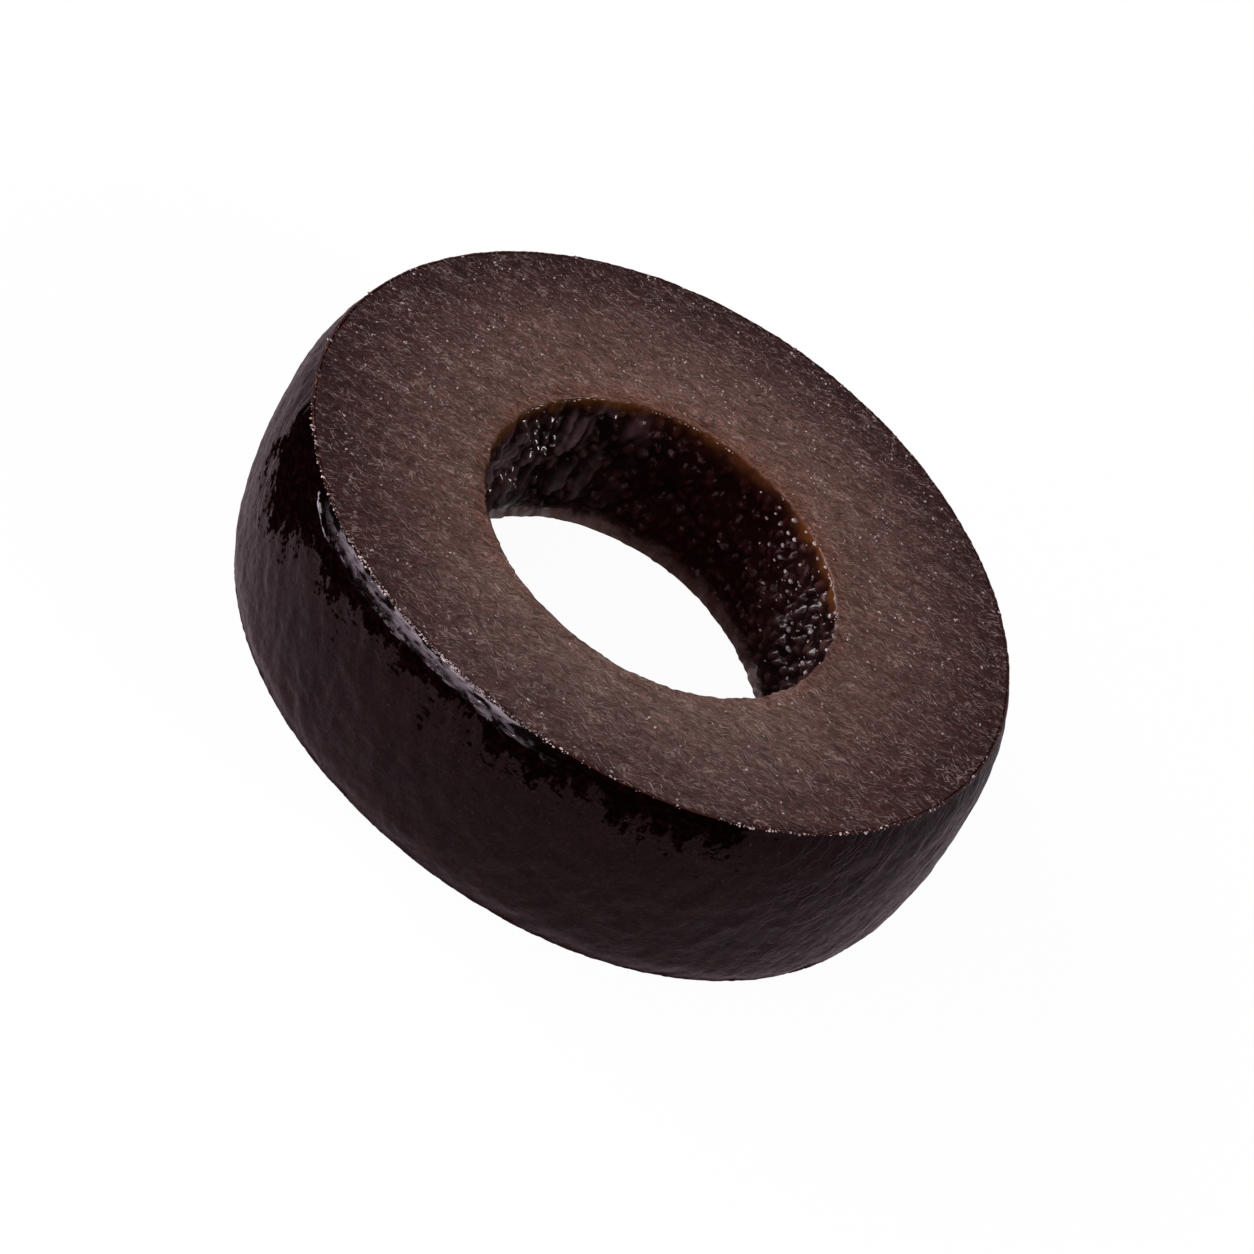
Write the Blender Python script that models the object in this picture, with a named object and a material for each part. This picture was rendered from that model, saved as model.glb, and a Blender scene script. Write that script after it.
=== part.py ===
import math

import bmesh
import bpy
from mathutils import Vector, noise

# A ring slice of a pitted olive, lying on its lower cut face.
# Lengths are in metres and angles in degrees. Z is the fruit's own long axis.

# The whole fruit is egg-shaped, and oval at its widest place
GIRTH_LONG = 0.0189  # along X
GIRTH_SHORT = 0.0172  # along Y
GIRTH_HEIGHT = 0.00235  # above the lower cut
TIP_ABOVE_GIRTH = 0.0097
TIP_BELOW_GIRTH = 0.014

# Faint ridges swell the oval
RIDGE_COUNT = 3
RIDGE_HEIGHT = 0.00007
RIDGE_TURN = -2.7

# Two parallel knife cuts, where the taut skin draws the edge in
SLICE_THICKNESS = 0.0051
CURL_DEPTH = 0.0001
CURL_HEIGHT = 0.0004

# The skin has shallow dents
SKIN_THICKNESS = 0.00018
SKIN_EDGE_ROUND = 0.00012
DENT_DEPTH = 0.00005
DENT_LENGTH = 0.0026

# The stone was punched out askew, which left an oval hole that leans and flares downwards
PIT_LONG = 0.00898
PIT_SHORT = 0.00822
PIT_TURN = -9.6
PIT_WAIST_HEIGHT = 0.0035
PIT_FLARE = 0.00012
PIT_OFFSET_X = -0.00007  # hole centre at the lower cut
PIT_OFFSET_Y = 0.00004
PIT_LEAN = 9.6
PIT_LEAN_HEADING = -53.7

# The torn layer that lines the hole, with soft lumps that the knife has smoothed at each cut
LINING_THICKNESS = 0.00025
LINING_EDGE_ROUND = 0.0001
TEAR_DEPTH = 0.00013  # of the lumps and hollows, to either side of the wall
TEAR_LENGTH = 0.00135  # from lump to lump
TEAR_FADE = 0.0004
LUMP_REACH = 0.8  # from a lump's top to its foot, as a share of that length

# The layers are grown together, so this is only the space that keeps them separate solids
LAYER_GAP = 0.00003

# Noise of the dents is drawn out to fill its range, and no edge rounds off its whole layer
DENT_GAIN = 1.4
MOST_ROUNDED = 0.8

# Facets
STEPS_AROUND = 96
WALL_ROWS = 6
DENT_ROWS = 12
LUMP_ROWS = 20
ROUND_ROWS = 3
SHARP_ANGLE = 50


def oval(angle, long, short):
    return (long + short) / 4 + (long - short) / 4 * math.cos(2 * angle)


def from_cut(height):
    return min(height, SLICE_THICKNESS - height)


def fruit_radius(angle, height):
    rise = height - GIRTH_HEIGHT
    tip = TIP_ABOVE_GIRTH if rise > 0 else TIP_BELOW_GIRTH
    ridge = RIDGE_HEIGHT * math.cos(RIDGE_COUNT * (angle - math.radians(RIDGE_TURN)))
    egg = (oval(angle, GIRTH_LONG, GIRTH_SHORT) + ridge) * math.sqrt(1 - (rise / tip) ** 2)
    return egg - CURL_DEPTH * math.exp(-((from_cut(height) / CURL_HEIGHT) ** 2))


def pit_radius(angle, height):
    flare = PIT_FLARE * (1 - height / PIT_WAIST_HEIGHT) ** 2
    return oval(angle - math.radians(PIT_TURN), PIT_LONG, PIT_SHORT) + flare


def pit_centre(height):
    shift = height * math.tan(math.radians(PIT_LEAN))
    heading = math.radians(PIT_LEAN_HEADING)
    across = PIT_OFFSET_X + shift * math.cos(heading)
    along = PIT_OFFSET_Y + shift * math.sin(heading)
    return Vector((across, along, height))


def fruit_point(angle, height, inset):
    radius = fruit_radius(angle, height) - inset
    return Vector((radius * math.cos(angle), radius * math.sin(angle), height))


def pit_point(angle, height, outset):
    radius = pit_radius(angle, height) + outset
    return pit_centre(height) + Vector((radius * math.cos(angle), radius * math.sin(angle), 0))


def dents(point):
    # Shallow and smooth, from 0 to 1
    swing = DENT_GAIN * noise.noise(point / DENT_LENGTH)
    return (1 + max(-1, min(1, swing))) / 2


def lumps(point):
    # Rounded, 1 on top of each and -1 in the hollows between them
    from_top = noise.voronoi(point / TEAR_LENGTH)[0][0]
    return max(-1, 1 - 2 * (from_top / LUMP_REACH) ** 2)


def shares(count):
    # From 0 to 1, closest together at both ends
    return [(1 - math.cos(math.pi * row / count)) / 2 for row in range(count + 1)]


def wall_rows(count):
    return [SLICE_THICKNESS * share for share in shares(count)]


def rounded_rows(count, round_over):
    # Heights from cut to cut, with how far the rounded edge is set back at each
    turns = [math.pi / 2 * step / ROUND_ROWS for step in range(ROUND_ROWS, 0, -1)]
    low = [(round_over * (1 - math.sin(turn)), round_over * (1 - math.cos(turn))) for turn in turns]
    high = [(SLICE_THICKNESS - height, back) for height, back in reversed(low)]
    span = SLICE_THICKNESS - 2 * round_over
    plain = [(round_over + span * share, 0) for share in shares(count)]
    return low + plain + high


def loop_at(point_at):
    return [point_at(2 * math.pi * step / STEPS_AROUND) for step in range(STEPS_AROUND)]


def loft_ring(name, loops, material):
    # Closed loops, joined in turn, with the last joined back to the first
    bm = bmesh.new()
    rings = [[bm.verts.new(point) for point in loop] for loop in loops]
    for near, far in zip(rings, rings[1:] + rings[:1]):
        for step in range(STEPS_AROUND):
            bm.faces.new((near[step - 1], near[step], far[step], far[step - 1]))
    bmesh.ops.recalc_face_normals(bm, faces=bm.faces)
    mesh = bpy.data.meshes.new(name)
    bm.to_mesh(mesh)
    bm.free()
    mesh.shade_smooth()
    mesh.set_sharp_from_angle(angle=math.radians(SHARP_ANGLE))
    mesh.materials.append(material)
    ring = bpy.data.objects.new(name, mesh)
    bpy.context.scene.collection.objects.link(ring)
    return ring


def tissue(name, colour, roughness):
    material = bpy.data.materials.new(name)
    material.use_nodes = True
    shader = material.node_tree.nodes["Principled BSDF"]
    shader.inputs["Base Color"].default_value = (*colour, 1)
    shader.inputs["Roughness"].default_value = roughness
    shader.inputs["Metallic"].default_value = 0
    return material


def skin_back(angle, height):
    return fruit_point(angle, height, DENT_DEPTH + SKIN_THICKNESS)


def dented_skin(angle, height, set_back):
    place = fruit_point(angle, height, 0)
    return fruit_point(angle, height, DENT_DEPTH * dents(place) + set_back)


def make_skin():
    edge = min(SKIN_EDGE_ROUND, MOST_ROUNDED * SKIN_THICKNESS)
    outside = [
        loop_at(lambda angle: dented_skin(angle, height, back))
        for height, back in rounded_rows(DENT_ROWS, edge)
    ]
    inside = [loop_at(lambda angle: skin_back(angle, height)) for height in wall_rows(WALL_ROWS)]
    return loft_ring("skin", outside + inside[::-1], tissue("peel", (0.012, 0.006, 0.007), 0.28))


def lining_back(angle, height):
    return pit_point(angle, height, TEAR_DEPTH + LINING_THICKNESS)


def torn_wall(angle, height, set_back):
    place = pit_point(angle, height, 0)
    rise = TEAR_DEPTH * min(1, from_cut(height) / TEAR_FADE) * lumps(place)
    return pit_point(angle, height, set_back - rise)


def make_lining():
    edge = min(LINING_EDGE_ROUND, MOST_ROUNDED * LINING_THICKNESS)
    wall = [
        loop_at(lambda angle: torn_wall(angle, height, back))
        for height, back in rounded_rows(LUMP_ROWS, edge)
    ]
    back = [loop_at(lambda angle: lining_back(angle, height)) for height in wall_rows(WALL_ROWS)]
    return loft_ring("pit_hole_lining", wall + back[::-1], tissue("torn_pulp", (0.02, 0.008, 0.005), 0.2))


def make_flesh():
    outer_inset = DENT_DEPTH + SKIN_THICKNESS + LAYER_GAP
    inner_outset = TEAR_DEPTH + LINING_THICKNESS + LAYER_GAP
    outside = [
        loop_at(lambda angle: fruit_point(angle, height, outer_inset)) for height in wall_rows(WALL_ROWS)
    ]
    bore = [
        loop_at(lambda angle: pit_point(angle, height, inner_outset)) for height in wall_rows(WALL_ROWS)
    ]
    return loft_ring("flesh", outside + bore[::-1], tissue("pulp", (0.105, 0.062, 0.054), 0.45))


def main():
    for old in list(bpy.data.objects):
        bpy.data.objects.remove(old, do_unlink=True)
    slice_frame = bpy.data.objects.new("olive_slice", None)
    bpy.context.scene.collection.objects.link(slice_frame)
    for layer in (make_skin(), make_flesh(), make_lining()):
        layer.parent = slice_frame


main()
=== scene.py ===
import math
from functools import partial

import bpy
import numpy as np
from mathutils import Matrix, Vector, noise


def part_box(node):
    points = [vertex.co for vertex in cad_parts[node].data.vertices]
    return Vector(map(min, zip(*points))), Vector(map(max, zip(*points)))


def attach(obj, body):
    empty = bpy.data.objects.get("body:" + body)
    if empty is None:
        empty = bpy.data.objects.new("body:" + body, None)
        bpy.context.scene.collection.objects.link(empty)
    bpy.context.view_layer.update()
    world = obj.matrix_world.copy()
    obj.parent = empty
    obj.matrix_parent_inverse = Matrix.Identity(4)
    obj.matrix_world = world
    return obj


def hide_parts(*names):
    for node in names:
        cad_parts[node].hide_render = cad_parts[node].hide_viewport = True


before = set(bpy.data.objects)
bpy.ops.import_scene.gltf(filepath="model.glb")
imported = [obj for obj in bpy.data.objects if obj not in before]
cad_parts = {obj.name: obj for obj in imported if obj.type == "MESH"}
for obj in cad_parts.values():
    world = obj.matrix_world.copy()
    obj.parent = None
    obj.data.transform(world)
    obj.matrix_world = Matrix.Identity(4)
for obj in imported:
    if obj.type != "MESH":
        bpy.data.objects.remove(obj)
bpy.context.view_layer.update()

# A ring slice of a pitted ripe olive on a white table. Lengths are in metres, angles in degrees.
mm = 0.001
sharpAngle = 60

for startupName in ("Cube", "Light", "Camera"):
    if startupName in bpy.data.objects:
        bpy.data.objects.remove(bpy.data.objects[startupName], do_unlink=True)

# The slice's own form, shared by every piece
sliceForm = {
    "thickness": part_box("flesh")[1].z,
    "girth": (18.9 * mm, 17.2 * mm),  # along X and Y
    "girthHeight": 2.35 * mm,
    "tipAbove": 9.7 * mm,
    "tipBelow": 14 * mm,
    "ridgeCount": 3,
    "ridgeHeight": 0.07 * mm,
    "ridgeTurn": -2.7,
    "curlDepth": 0.1 * mm,
    "curlHeight": 0.4 * mm,
    "skinThickness": 0.06 * mm,
    "pit": (8.98 * mm, 8.22 * mm),
    "pitTurn": -9.6,
    "pitWaist": 3.5 * mm,
    "pitFlare": 0.12 * mm,
    "pitOffset": (-0.07 * mm, 0.04 * mm),
    "pitLean": 9.6,
    "pitHeading": -53.7,
    "liningThickness": 0.38 * mm,
    "tearDepth": 0.13 * mm,
    "tearLength": 1.35 * mm,
    "tearFade": 0.4 * mm,
    "lumpReach": 0.8,  # as a share of the length from lump to lump
    "layerGap": 0.03 * mm,
}
sliceTop = sliceForm["thickness"]
wallHeights = (0, sliceTop / 2, sliceTop)  # rows of a wall that is hidden


# Shape of the fruit and of its hole

def oval(angle, longWay, shortWay):
    return (longWay + shortWay) / 4 + (longWay - shortWay) / 4 * np.cos(2 * angle)


def fromCut(height):
    # How far the nearer cut is
    return np.minimum(height, sliceTop - height)


def fruitRadius(angle, height):
    form = sliceForm
    rise = height - form["girthHeight"]
    tip = np.where(rise > 0, form["tipAbove"], form["tipBelow"])
    ridge = form["ridgeHeight"] * np.cos(form["ridgeCount"] * (angle - math.radians(form["ridgeTurn"])))
    egg = (oval(angle, *form["girth"]) + ridge) * np.sqrt(1 - (rise / tip) ** 2)
    return egg - form["curlDepth"] * np.exp(-((fromCut(height) / form["curlHeight"]) ** 2))


def pitRadius(angle, height):
    flare = sliceForm["pitFlare"] * (1 - height / sliceForm["pitWaist"]) ** 2
    return oval(angle - math.radians(sliceForm["pitTurn"]), *sliceForm["pit"]) + flare


def pitCentre(height):
    shift = height * math.tan(math.radians(sliceForm["pitLean"]))
    turn = math.radians(sliceForm["pitHeading"])
    offsetX, offsetY = sliceForm["pitOffset"]
    return offsetX + shift * math.cos(turn), offsetY + shift * math.sin(turn)


def fruitLoop(angle, height, inset):
    radius = fruitRadius(angle, height) - inset
    return np.stack((radius * np.cos(angle), radius * np.sin(angle), np.full_like(angle, height)), axis=-1)


def pitLoop(angle, height, outset):
    radius = pitRadius(angle, height) + outset
    centreX, centreY = pitCentre(height)
    across = centreX + radius * np.cos(angle)
    along = centreY + radius * np.sin(angle)
    return np.stack((across, along, np.full_like(angle, height)), axis=-1)


def tornLoop(angle, height, setBack):
    # The hole's wall with the main lumps of the torn layer
    form = sliceForm
    fade = min(1, fromCut(height) / form["tearFade"])
    places = pitLoop(angle, height, 0) / form["tearLength"]
    fromTop = np.array([noise.voronoi(place)[0][0] for place in places.tolist()])
    lumps = np.maximum(-1, 1 - 2 * (fromTop / form["lumpReach"]) ** 2)
    return pitLoop(angle, height, setBack - form["tearDepth"] * fade * lumps)


def onceRound(steps):
    return np.linspace(0, 2 * math.pi, steps, endpoint=False)


def between(fromLoop, toLoop, rows):
    # The loops that lie between two others
    shares = np.linspace(0, 1, rows + 1)[1:-1]
    return [fromLoop + (toLoop - fromLoop) * share for share in shares]


def levelOutward(angle, rows):
    radial = np.stack((np.cos(angle), np.sin(angle), np.zeros_like(angle)), axis=-1)
    return np.repeat(radial[None], rows, axis=0)


def roundedRows(wall, roundRows, edgeRound):
    # Heights from the lower cut to the upper, and how far the rounded edge is set back at each
    turn = np.linspace(math.pi / 2, 0, roundRows, endpoint=False)
    lowHeights = edgeRound * (1 - np.sin(turn))
    lowBacks = edgeRound * (1 - np.cos(turn))
    heights = np.concatenate((lowHeights, wall, sliceTop - lowHeights[::-1]))
    backs = np.concatenate((lowBacks, np.zeros(len(wall)), lowBacks[::-1]))
    return heights, backs


def heading(azimuth, elevation):
    # Azimuth 0 is towards -Y
    turn, lift = math.radians(azimuth), math.radians(elevation)
    return Vector((math.sin(turn) * math.cos(lift), -math.cos(turn) * math.cos(lift), math.sin(lift)))


def nearAngle(angle, middle, reach, fade):
    # 1 within reach of an angle from +X, and 0 past the fade
    away = np.abs((np.degrees(angle) - middle + 180) % 360 - 180)
    return np.clip((reach + fade - away) / fade, 0, 1)


def addObject(name, data):
    made = bpy.data.objects.new(name, data)
    bpy.context.scene.collection.objects.link(made)
    return made


def ringPiece(name, loops, facts, closed=True):
    # Rows of points once round the ring, each joined to the next, and in a closed one the last to the first
    rows, steps = loops.shape[:2]
    corner = np.arange(rows * steps).reshape(rows, steps)
    nextStep = np.roll(corner, -1, axis=1)
    quads = np.stack((corner, nextStep, np.roll(nextStep, -1, axis=0), np.roll(corner, -1, axis=0)), axis=-1)
    if not closed:
        quads = quads[:-1]
    mesh = bpy.data.meshes.new(name)
    mesh.from_pydata(loops.reshape(-1, 3).tolist(), [], quads.reshape(-1, 4).tolist())
    for fact, values in facts.items():
        if values.ndim == 1:  # one for each row
            values = np.outer(values, np.ones(steps))
        isVector = values.ndim == 3
        layer = mesh.attributes.new(fact, "FLOAT_VECTOR" if isVector else "FLOAT", "POINT")
        layer.data.foreach_set("vector" if isVector else "value", values.astype(np.float32).ravel())
    return addObject(name, mesh)


# Short ways to build node trees; most find the tree from a socket that they are given

def link(value, socket):
    value.id_data.links.new(value, socket)


def addNode(tree, kind, inputs=None, **settings):
    node = tree.nodes.new(kind)
    for setting, value in settings.items():
        setattr(node, setting, value)
    for socket, value in (inputs or {}).items():
        if isinstance(value, bpy.types.NodeSocket):
            link(value, node.inputs[socket])
        else:
            node.inputs[socket].default_value = value
    return node


def treeOf(*values):
    return next(value.id_data for value in values if isinstance(value, bpy.types.NodeSocket))


def calc(operation, *values):
    sockets = dict(enumerate(values))
    return addNode(treeOf(*values), "ShaderNodeMath", sockets, operation=operation).outputs[0]


plus, minus, times, greatest = (
    partial(calc, operation) for operation in ("ADD", "SUBTRACT", "MULTIPLY", "MAXIMUM")
)


def weighted(start, *terms):
    # start plus each value times its weight
    total = start
    for value, weight in terms:
        total = plus(total, times(value, weight))
    return total


def wave(value, depth):
    # Noise about a half, turned into a swing of this depth either way
    return times(times(minus(value, 0.5), 2.0), depth)


def vectorCalc(operation, *values):
    node = addNode(treeOf(*values), "ShaderNodeVectorMath", dict(enumerate(values)), operation=operation)
    return node.outputs["Value" if operation in ("LENGTH", "DOT_PRODUCT") else "Vector"]


def dot(vector, direction):
    return vectorCalc("DOT_PRODUCT", vector, tuple(direction))


def scaled(vector, amount):
    sockets = {0: vector, "Scale": amount}
    node = addNode(treeOf(vector, amount), "ShaderNodeVectorMath", sockets, operation="SCALE")
    return node.outputs["Vector"]


def inSizes(vector, size):
    return scaled(vector, calc("DIVIDE", 1.0, size))


def flattened(place):
    return vectorCalc("MULTIPLY", place, (1, 1, 0))


def splitXyz(vector):
    return addNode(vector.id_data, "ShaderNodeSeparateXYZ", {0: vector}).outputs


def joinXyz(*parts):
    return addNode(treeOf(*parts), "ShaderNodeCombineXYZ", dict(enumerate(parts))).outputs[0]


def noiseAt(place, scale=1.0, detail=2.0, roughness=0.5, output=0):
    # A scale of three numbers has one for each axis
    if isinstance(scale, tuple):
        place, scale = vectorCalc("MULTIPLY", place, scale), 1.0
    sockets = {"Vector": place, "Scale": scale, "Detail": detail, "Roughness": roughness}
    return addNode(place.id_data, "ShaderNodeTexNoise", sockets).outputs[output]


def shifted(place, distance, drift):
    # The place moved about by noise in three parts, up to roughly this distance
    return vectorCalc("ADD", place, scaled(vectorCalc("SUBTRACT", drift, (0.5, 0.5, 0.5)), distance))


def remap(value, low, high, toLow=0.0, toHigh=1.0, ease="SMOOTHSTEP"):
    sockets = {"Value": value, "From Min": low, "From Max": high, "To Min": toLow, "To Max": toHigh}
    return addNode(value.id_data, "ShaderNodeMapRange", sockets, interpolation_type=ease).outputs[0]


def mixColour(share, first, second):
    sockets = {0: share, 6: first, 7: second}
    return addNode(share.id_data, "ShaderNodeMix", sockets, data_type="RGBA").outputs[2]


def shaded(colour, amount):
    return vectorCalc("MULTIPLY", colour, joinXyz(amount, amount, amount))


# Where a place, in millimetres, lies on the slice

def towards(place, azimuth):
    # 1 where the piece faces this azimuth, for a place in any unit
    return dot(vectorCalc("NORMALIZE", flattened(place)), heading(azimuth, 0))


def fromPit(place, height):
    # Level, from the middle of the hole at this height
    centreX, centreY = pitCentre(height)
    return flattened(vectorCalc("SUBTRACT", place, (centreX / mm, centreY / mm, 0)))


def fromPitTowards(place, angle):
    # 1 where the wall lies this way from the middle of the hole
    turn = math.radians(angle)
    away = vectorCalc("NORMALIZE", fromPit(place, sliceTop / 2))
    return dot(away, (math.cos(turn), math.sin(turn), 0))


def outlineShare(place):
    # 0 on the fruit's axis, 1 at its girth
    longHalf, shortHalf = (length / 2 / mm for length in sliceForm["girth"])
    return vectorCalc("LENGTH", vectorCalc("MULTIPLY", place, (1 / longHalf, 1 / shortHalf, 0)))


# Geometry trees

def newGroup(name, treeKind, inputs, outputs):
    group = bpy.data.node_groups.new(name, treeKind)
    for label, kind, value in inputs:
        socket = group.interface.new_socket(label, in_out="INPUT", socket_type="NodeSocket" + kind)
        if value is not None:
            socket.default_value = value
    for label, kind in outputs:
        group.interface.new_socket(label, in_out="OUTPUT", socket_type="NodeSocket" + kind)
    start = group.nodes.new("NodeGroupInput")
    end = group.nodes.new("NodeGroupOutput")
    return group, start.outputs, end.inputs


def namedInputs(settings):
    # One for each setting that starts with a capital
    labels = [label for label in settings if label[0].isupper()]
    return [(label, "Int" if label == "Seed" else "Float", settings[label]) for label in labels]


def newRelief(name, settings):
    inputs = [("Geometry", "Geometry", None)] + namedInputs(settings)
    return newGroup(name, "GeometryNodeTree", inputs, [("Geometry", "Geometry")])


def runTree(piece, tree, values):
    # Sets the tree's named inputs, then turns the result into a plain mesh
    modifier = piece.modifiers.new(tree.name, "NODES")
    modifier.node_group = tree
    for item in tree.interface.items_tree:
        if item.item_type == "SOCKET" and item.in_out == "INPUT" and item.name in values:
            modifier[item.identifier] = values[item.name]
    depsgraph = bpy.context.evaluated_depsgraph_get()
    made = bpy.data.meshes.new_from_object(piece.evaluated_get(depsgraph))
    made.name = piece.name
    piece.modifiers.remove(modifier)
    piece.data = made
    made.shade_smooth()
    made.set_sharp_from_angle(angle=math.radians(sharpAngle))
    print(piece.name, len(made.vertices), "points")


def painted(geometry, material, where=True):
    sockets = {"Geometry": geometry, "Selection": where, "Material": material}
    return addNode(geometry.id_data, "GeometryNodeSetMaterial", sockets).outputs[0]


def finishTree(geometry, output, material, spots=None):
    made = addNode(geometry.id_data, "GeometryNodeRealizeInstances", {"Geometry": geometry}).outputs[0]
    made = painted(made, material)
    if spots:
        made = painted(made, *spots)
    link(made, output["Geometry"])


def readFact(tree, fact, kind="FLOAT"):
    return addNode(tree, "GeometryNodeInputNamedAttribute", {"Name": fact}, data_type=kind).outputs[0]


def keepFact(geometry, fact, value):
    sockets = {"Geometry": geometry, "Name": fact, "Value": value}
    kind = "GeometryNodeStoreNamedAttribute"
    return addNode(geometry.id_data, kind, sockets, data_type="FLOAT", domain="POINT").outputs[0]


def positionIn(tree):
    return addNode(tree, "GeometryNodeInputPosition").outputs[0]


def moved(geometry, offset):
    sockets = {"Geometry": geometry, "Offset": offset}
    return addNode(geometry.id_data, "GeometryNodeSetPosition", sockets).outputs[0]


def pushed(geometry, distance):
    # Moves every point along its own outward direction
    return moved(geometry, scaled(readFact(geometry.id_data, "outward", "FLOAT_VECTOR"), distance))


def sunkAtCut(geometry):
    # Sinks the cut faces; the facing fact is 1 on the upper cut and -1 on the lower
    tree = geometry.id_data
    sink = addNode(tree, "GeometryNodeGroup", node_tree=cutRelief).outputs["Sink"]
    return moved(geometry, joinXyz(0.0, 0.0, times(sink, readFact(tree, "facing"))))


# Shared looks

pulpTones = {
    "middle": (0.0915, 0.0458, 0.0368, 1),
    "nearHole": (0.093, 0.0478, 0.0366, 1),
    "behindHole": (0.112, 0.0545, 0.0385, 1),
    "front": (0.11, 0.0655, 0.0535, 1),
    "nearSkin": (0.024, 0.0064, 0.0061, 1),
    "strand": (0.34, 0.27, 0.235, 1),
    "strandAngle": 30,  # from +X, the way most strands lie
    "paleSide": 36,  # azimuth where the cut stays pale out to the skin
}


def strandNoise(place, spacing, length, detail=2.0):
    # Noise drawn out along the strands and bent by a swirl; place, spacing and length are in millimetres
    turn = math.radians(pulpTones["strandAngle"])
    bent = shifted(place, 0.55, noiseAt(place, 1.7, output="Color"))
    along = dot(bent, (math.cos(turn), math.sin(turn), 0))
    across = dot(bent, (-math.sin(turn), math.cos(turn), 0))
    parts = ((along, length), (across, spacing), (splitXyz(place)[2], length))
    drawn = joinXyz(*(calc("DIVIDE", part, size) for part, size in parts))
    return noiseAt(drawn, 1.0, detail, 0.6)


def buildPulpLook():
    # Short bent strands, darker towards the skin and warmer towards the hole
    s = pulpTones
    group, given, wanted = newGroup(
        "pulpLook",
        "ShaderNodeTree",
        [("Place", "Vector", None), ("Strand Spacing", "Float", 0.06), ("Strand Length", "Float", 0.2)],
        [("Colour", "Color"), ("Strand", "Float"), ("Gloss", "Float")],
    )
    place = scaled(given["Place"], 1 / mm)  # millimetres

    def strands(share, detail=2.0):
        spacing, length = (times(given["Strand " + way], share) for way in ("Spacing", "Length"))
        return strandNoise(place, spacing, length, detail)

    strand = remap(strands(1.0, 3.0), 0.32, 0.68)
    fine = remap(strands(0.5), 0.34, 0.67)
    hair = remap(calc("ABSOLUTE", minus(strands(2.4), 0.5)), 0.03, 0.006)
    clumps = remap(strands(4.0), 0.3, 0.7)
    mottle = noiseAt(place, 0.7, 4.0, 0.6)
    grain = noiseAt(place, 12.0, 2.0, 0.6)

    outline = plus(outlineShare(place), wave(mottle, 0.07))
    front = towards(place, s["paleSide"])
    nearSkin = times(remap(outline, 0.56, 0.95), remap(front, 0.3, 0.95, 1.0, 0.72))
    nearSkin = greatest(nearSkin, remap(outline, 0.87, 0.95, 0.0, 0.92))
    distance = plus(vectorCalc("LENGTH", fromPit(place, sliceTop)), wave(mottle, 0.5))
    nearHole = remap(distance, 5.8, 4.3)

    byHole = mixColour(remap(front, -0.9, 0.3), s["behindHole"], s["nearHole"])
    tone = mixColour(nearHole, s["middle"], byHole)
    # Painted shade: the cut is darker to either side of the pale front
    tone = shaded(tone, remap(calc("ABSOLUTE", front), 0.3, 0.85, 0.86, 1.0))
    tone = mixColour(remap(front, 0.55, 1.0), tone, s["front"])
    tone = mixColour(nearSkin, tone, s["nearSkin"])
    shade = weighted(0.13, (strand, 0.52), (fine, 0.36), (clumps, 0.3), (grain, 0.25), (mottle, 0.3))
    tone = shaded(tone, shade)
    tone = mixColour(times(hair, times(clumps, 0.4)), tone, s["strand"])
    link(tone, wanted["Colour"])
    link(weighted(0.0, (strand, 0.5), (fine, 0.3), (hair, 0.3)), wanted["Strand"])
    link(remap(grain, 0.3, 0.7, 0.34, 0.55), wanted["Gloss"])
    return group


pulpLook = buildPulpLook()


def newMaterial(name, **constants):
    material = bpy.data.materials.new(name)
    material.use_nodes = True
    shader = material.node_tree.nodes["Principled BSDF"]
    for socket, value in constants.items():
        shader.inputs[socket.replace("_", " ")].default_value = value
    return material, material.node_tree, shader.inputs


def objectPlace(tree):
    return addNode(tree, "ShaderNodeTexCoord").outputs["Object"]


def upwardness(tree):
    return splitXyz(addNode(tree, "ShaderNodeTexCoord").outputs["Normal"])[2]


def materialFact(tree, fact):
    return addNode(tree, "ShaderNodeAttribute", attribute_name=fact).outputs["Fac"]


def addBump(height, strength, distance):
    sockets = {"Height": height, "Strength": strength, "Distance": distance}
    return addNode(height.id_data, "ShaderNodeBump", sockets).outputs["Normal"]


def placePulp(tree):
    return addNode(tree, "ShaderNodeGroup", {"Place": objectPlace(tree)}, node_tree=pulpLook).outputs


# Peel: the thin purple-black skin, with a film of brine hanging under the upper cut

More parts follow.
